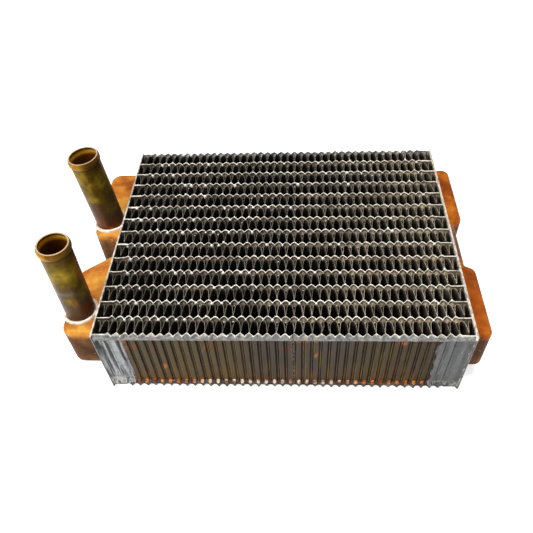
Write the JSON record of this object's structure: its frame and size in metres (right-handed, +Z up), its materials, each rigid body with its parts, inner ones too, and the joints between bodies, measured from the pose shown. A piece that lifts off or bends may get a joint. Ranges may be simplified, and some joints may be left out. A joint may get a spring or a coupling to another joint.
{
  "type": "radiator core",
  "caption": "Copper and brass heater core with waved fins between flat water tubes, two tanks with hose pipes at one end and a return tank at the other.",
  "frame": {"origin": "centre of the bottom of the part's box, on the core's lower face", "axes": "+X along the core from the pipe tanks to the return tank, +Y across the rows of fins from the front pipe to the rear pipe, +Z up out of the core's face, the way the pipes point"},
  "size_m": [0.2344, 0.153, 0.0943],
  "materials": {
    "fin_strip": "thin copper strip, tarnished dark",
    "tube_strip": "thin brass strip, tinned edges, heat stained",
    "header": "tinned brass plate",
    "tank": "drawn copper, heat tinted",
    "pipe": "drawn brass pipe, olive tarnish",
    "solder": "wiped soft solder, satin"
  },
  "bodies": {
    "root": {"left_header": "header", "right_header": "header", "front_side_strip": "tube_strip", "rear_side_strip": "tube_strip", "front_tank": "tank", "rear_tank": "tank", "return_tank": "tank", "front_pipe": "pipe", "rear_pipe": "pipe", "front_pipe_solder": "solder", "rear_pipe_solder": "solder", "front_tank_solder": "solder", "rear_tank_solder": "solder", "return_tank_solder": "solder", "front_left_coat": "solder", "front_right_coat": "solder", "rear_left_coat": "solder", "rear_right_coat": "solder", "water_tube_1": "tube_strip", "water_tube_2": "tube_strip", "water_tube_3": "tube_strip", "water_tube_4": "tube_strip", "water_tube_5": "tube_strip", "water_tube_6": "tube_strip", "water_tube_7": "tube_strip", "water_tube_8": "tube_strip", "water_tube_9": "tube_strip", "water_tube_10": "tube_strip", "water_tube_11": "tube_strip", "water_tube_12": "tube_strip", "water_tube_13": "tube_strip", "fin_1": "fin_strip", "fin_2": "fin_strip", "fin_3": "fin_strip", "fin_4": "fin_strip", "fin_5": "fin_strip", "fin_6": "fin_strip", "fin_7": "fin_strip", "fin_8": "fin_strip", "fin_9": "fin_strip", "fin_10": "fin_strip", "fin_11": "fin_strip", "fin_12": "fin_strip", "fin_13": "fin_strip", "fin_14": "fin_strip"}
  },
  "joints": []
}
